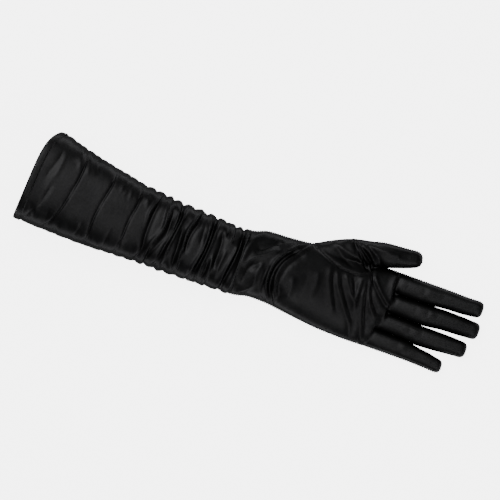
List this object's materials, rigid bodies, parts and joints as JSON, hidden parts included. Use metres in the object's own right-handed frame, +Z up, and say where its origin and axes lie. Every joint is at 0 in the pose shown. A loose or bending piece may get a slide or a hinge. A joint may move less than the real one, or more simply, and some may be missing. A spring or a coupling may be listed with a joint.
{
  "type": "opera glove",
  "caption": "Long evening glove of black stretch satin for a left hand, with a gathered sleeve to just below the elbow, a set-in thumb and jointed fingers.",
  "frame": {"origin": "middle of the glove's footprint, on the surface that its back lies on", "axes": "+X from the arm opening to the fingertips, +Y towards the thumb, +Z up out of the palm"},
  "size_m": [0.4223, 0.0948, 0.0697],
  "materials": {
    "glove_satin": "soft satin sheen, fine weave",
    "gathering_elastic": "matt knitted elastic"
  },
  "bodies": {
    "sleeve": {"sleeve_front_panel": "glove_satin", "sleeve_back_panel": "glove_satin", "thumb_side_elastic": "gathering_elastic", "little_side_elastic": "gathering_elastic"},
    "hem": {"hem_band": "glove_satin"},
    "hand": {"palm_panel": "glove_satin", "hand_back_panel": "glove_satin", "thumb_gusset": "glove_satin"},
    "thumb_lower": {"thumb_lower_front": "glove_satin", "thumb_lower_back": "glove_satin"},
    "thumb_upper": {"thumb_upper_front": "glove_satin", "thumb_upper_back": "glove_satin"},
    "index_lower": {"index_lower_front": "glove_satin", "index_lower_fourchette": "glove_satin", "index_lower_back": "glove_satin"},
    "index_upper": {"index_upper_front": "glove_satin", "index_upper_fourchette": "glove_satin", "index_upper_back": "glove_satin"},
    "middle_lower": {"middle_lower_front": "glove_satin", "middle_lower_fourchette": "glove_satin", "middle_lower_back": "glove_satin"},
    "middle_upper": {"middle_upper_front": "glove_satin", "middle_upper_fourchette": "glove_satin", "middle_upper_back": "glove_satin"},
    "ring_lower": {"ring_lower_front": "glove_satin", "ring_lower_fourchette": "glove_satin", "ring_lower_back": "glove_satin"},
    "ring_upper": {"ring_upper_front": "glove_satin", "ring_upper_fourchette": "glove_satin", "ring_upper_back": "glove_satin"},
    "little_lower": {"little_lower_front": "glove_satin", "little_lower_fourchette": "glove_satin", "little_lower_back": "glove_satin"},
    "little_upper": {"little_upper_front": "glove_satin", "little_upper_fourchette": "glove_satin", "little_upper_back": "glove_satin"}
  },
  "joints": [
    {"name": "hem_draw", "type": "slide", "parent": "sleeve", "child": "hem", "axis": [-1, 0, 0], "range_m": [0, 0.04], "stiffness_N_per_m": 40},
    {"name": "wrist_bend", "type": "hinge", "parent": "sleeve", "child": "hand", "pos_m": [0.02927, -0.00835, 0.0202], "axis": [0, -1, 0], "range_deg": [-45, 60]},
    {"name": "index_knuckle", "type": "hinge", "parent": "hand", "child": "index_lower", "pos_m": [0.12687, 0.01495, 0.0082], "axis": [0, -1, 0], "range_deg": [-15, 85]},
    {"name": "index_middle_joint", "type": "hinge", "parent": "index_lower", "child": "index_upper", "pos_m": [0.16557, 0.01495, 0.0082], "axis": [0, -1, 0], "range_deg": [0, 100]},
    {"name": "middle_knuckle", "type": "hinge", "parent": "hand", "child": "middle_lower", "pos_m": [0.12687, -0.00295, 0.0082], "axis": [0, -1, 0], "range_deg": [-15, 85]},
    {"name": "middle_middle_joint", "type": "hinge", "parent": "middle_lower", "child": "middle_upper", "pos_m": [0.16557, -0.00295, 0.0082], "axis": [0, -1, 0], "range_deg": [0, 100]},
    {"name": "ring_knuckle", "type": "hinge", "parent": "hand", "child": "ring_lower", "pos_m": [0.12487, -0.02005, 0.0082], "axis": [0, -1, 0], "range_deg": [-15, 85]},
    {"name": "ring_middle_joint", "type": "hinge", "parent": "ring_lower", "child": "ring_upper", "pos_m": [0.16007, -0.02005, 0.0082], "axis": [0, -1, 0], "range_deg": [0, 100]},
    {"name": "little_knuckle", "type": "hinge", "parent": "hand", "child": "little_lower", "pos_m": [0.12127, -0.03695, 0.0082], "axis": [0, -1, 0], "range_deg": [-15, 85]},
    {"name": "little_middle_joint", "type": "hinge", "parent": "little_lower", "child": "little_upper", "pos_m": [0.14997, -0.03695, 0.0082], "axis": [0, -1, 0], "range_deg": [0, 100]},
    {"name": "thumb_base_joint", "type": "hinge", "parent": "hand", "child": "thumb_lower", "pos_m": [0.09607, 0.03195, 0.0125], "axis": [0.1822, -0.9833, 0], "range_deg": [-10, 38]},
    {"name": "thumb_tip_joint", "type": "hinge", "parent": "thumb_lower", "child": "thumb_upper", "pos_m": [0.11672, 0.03578, 0.0125], "axis": [0.1812, -0.9779, -0.1045], "range_deg": [-10, 65]}
  ]
}
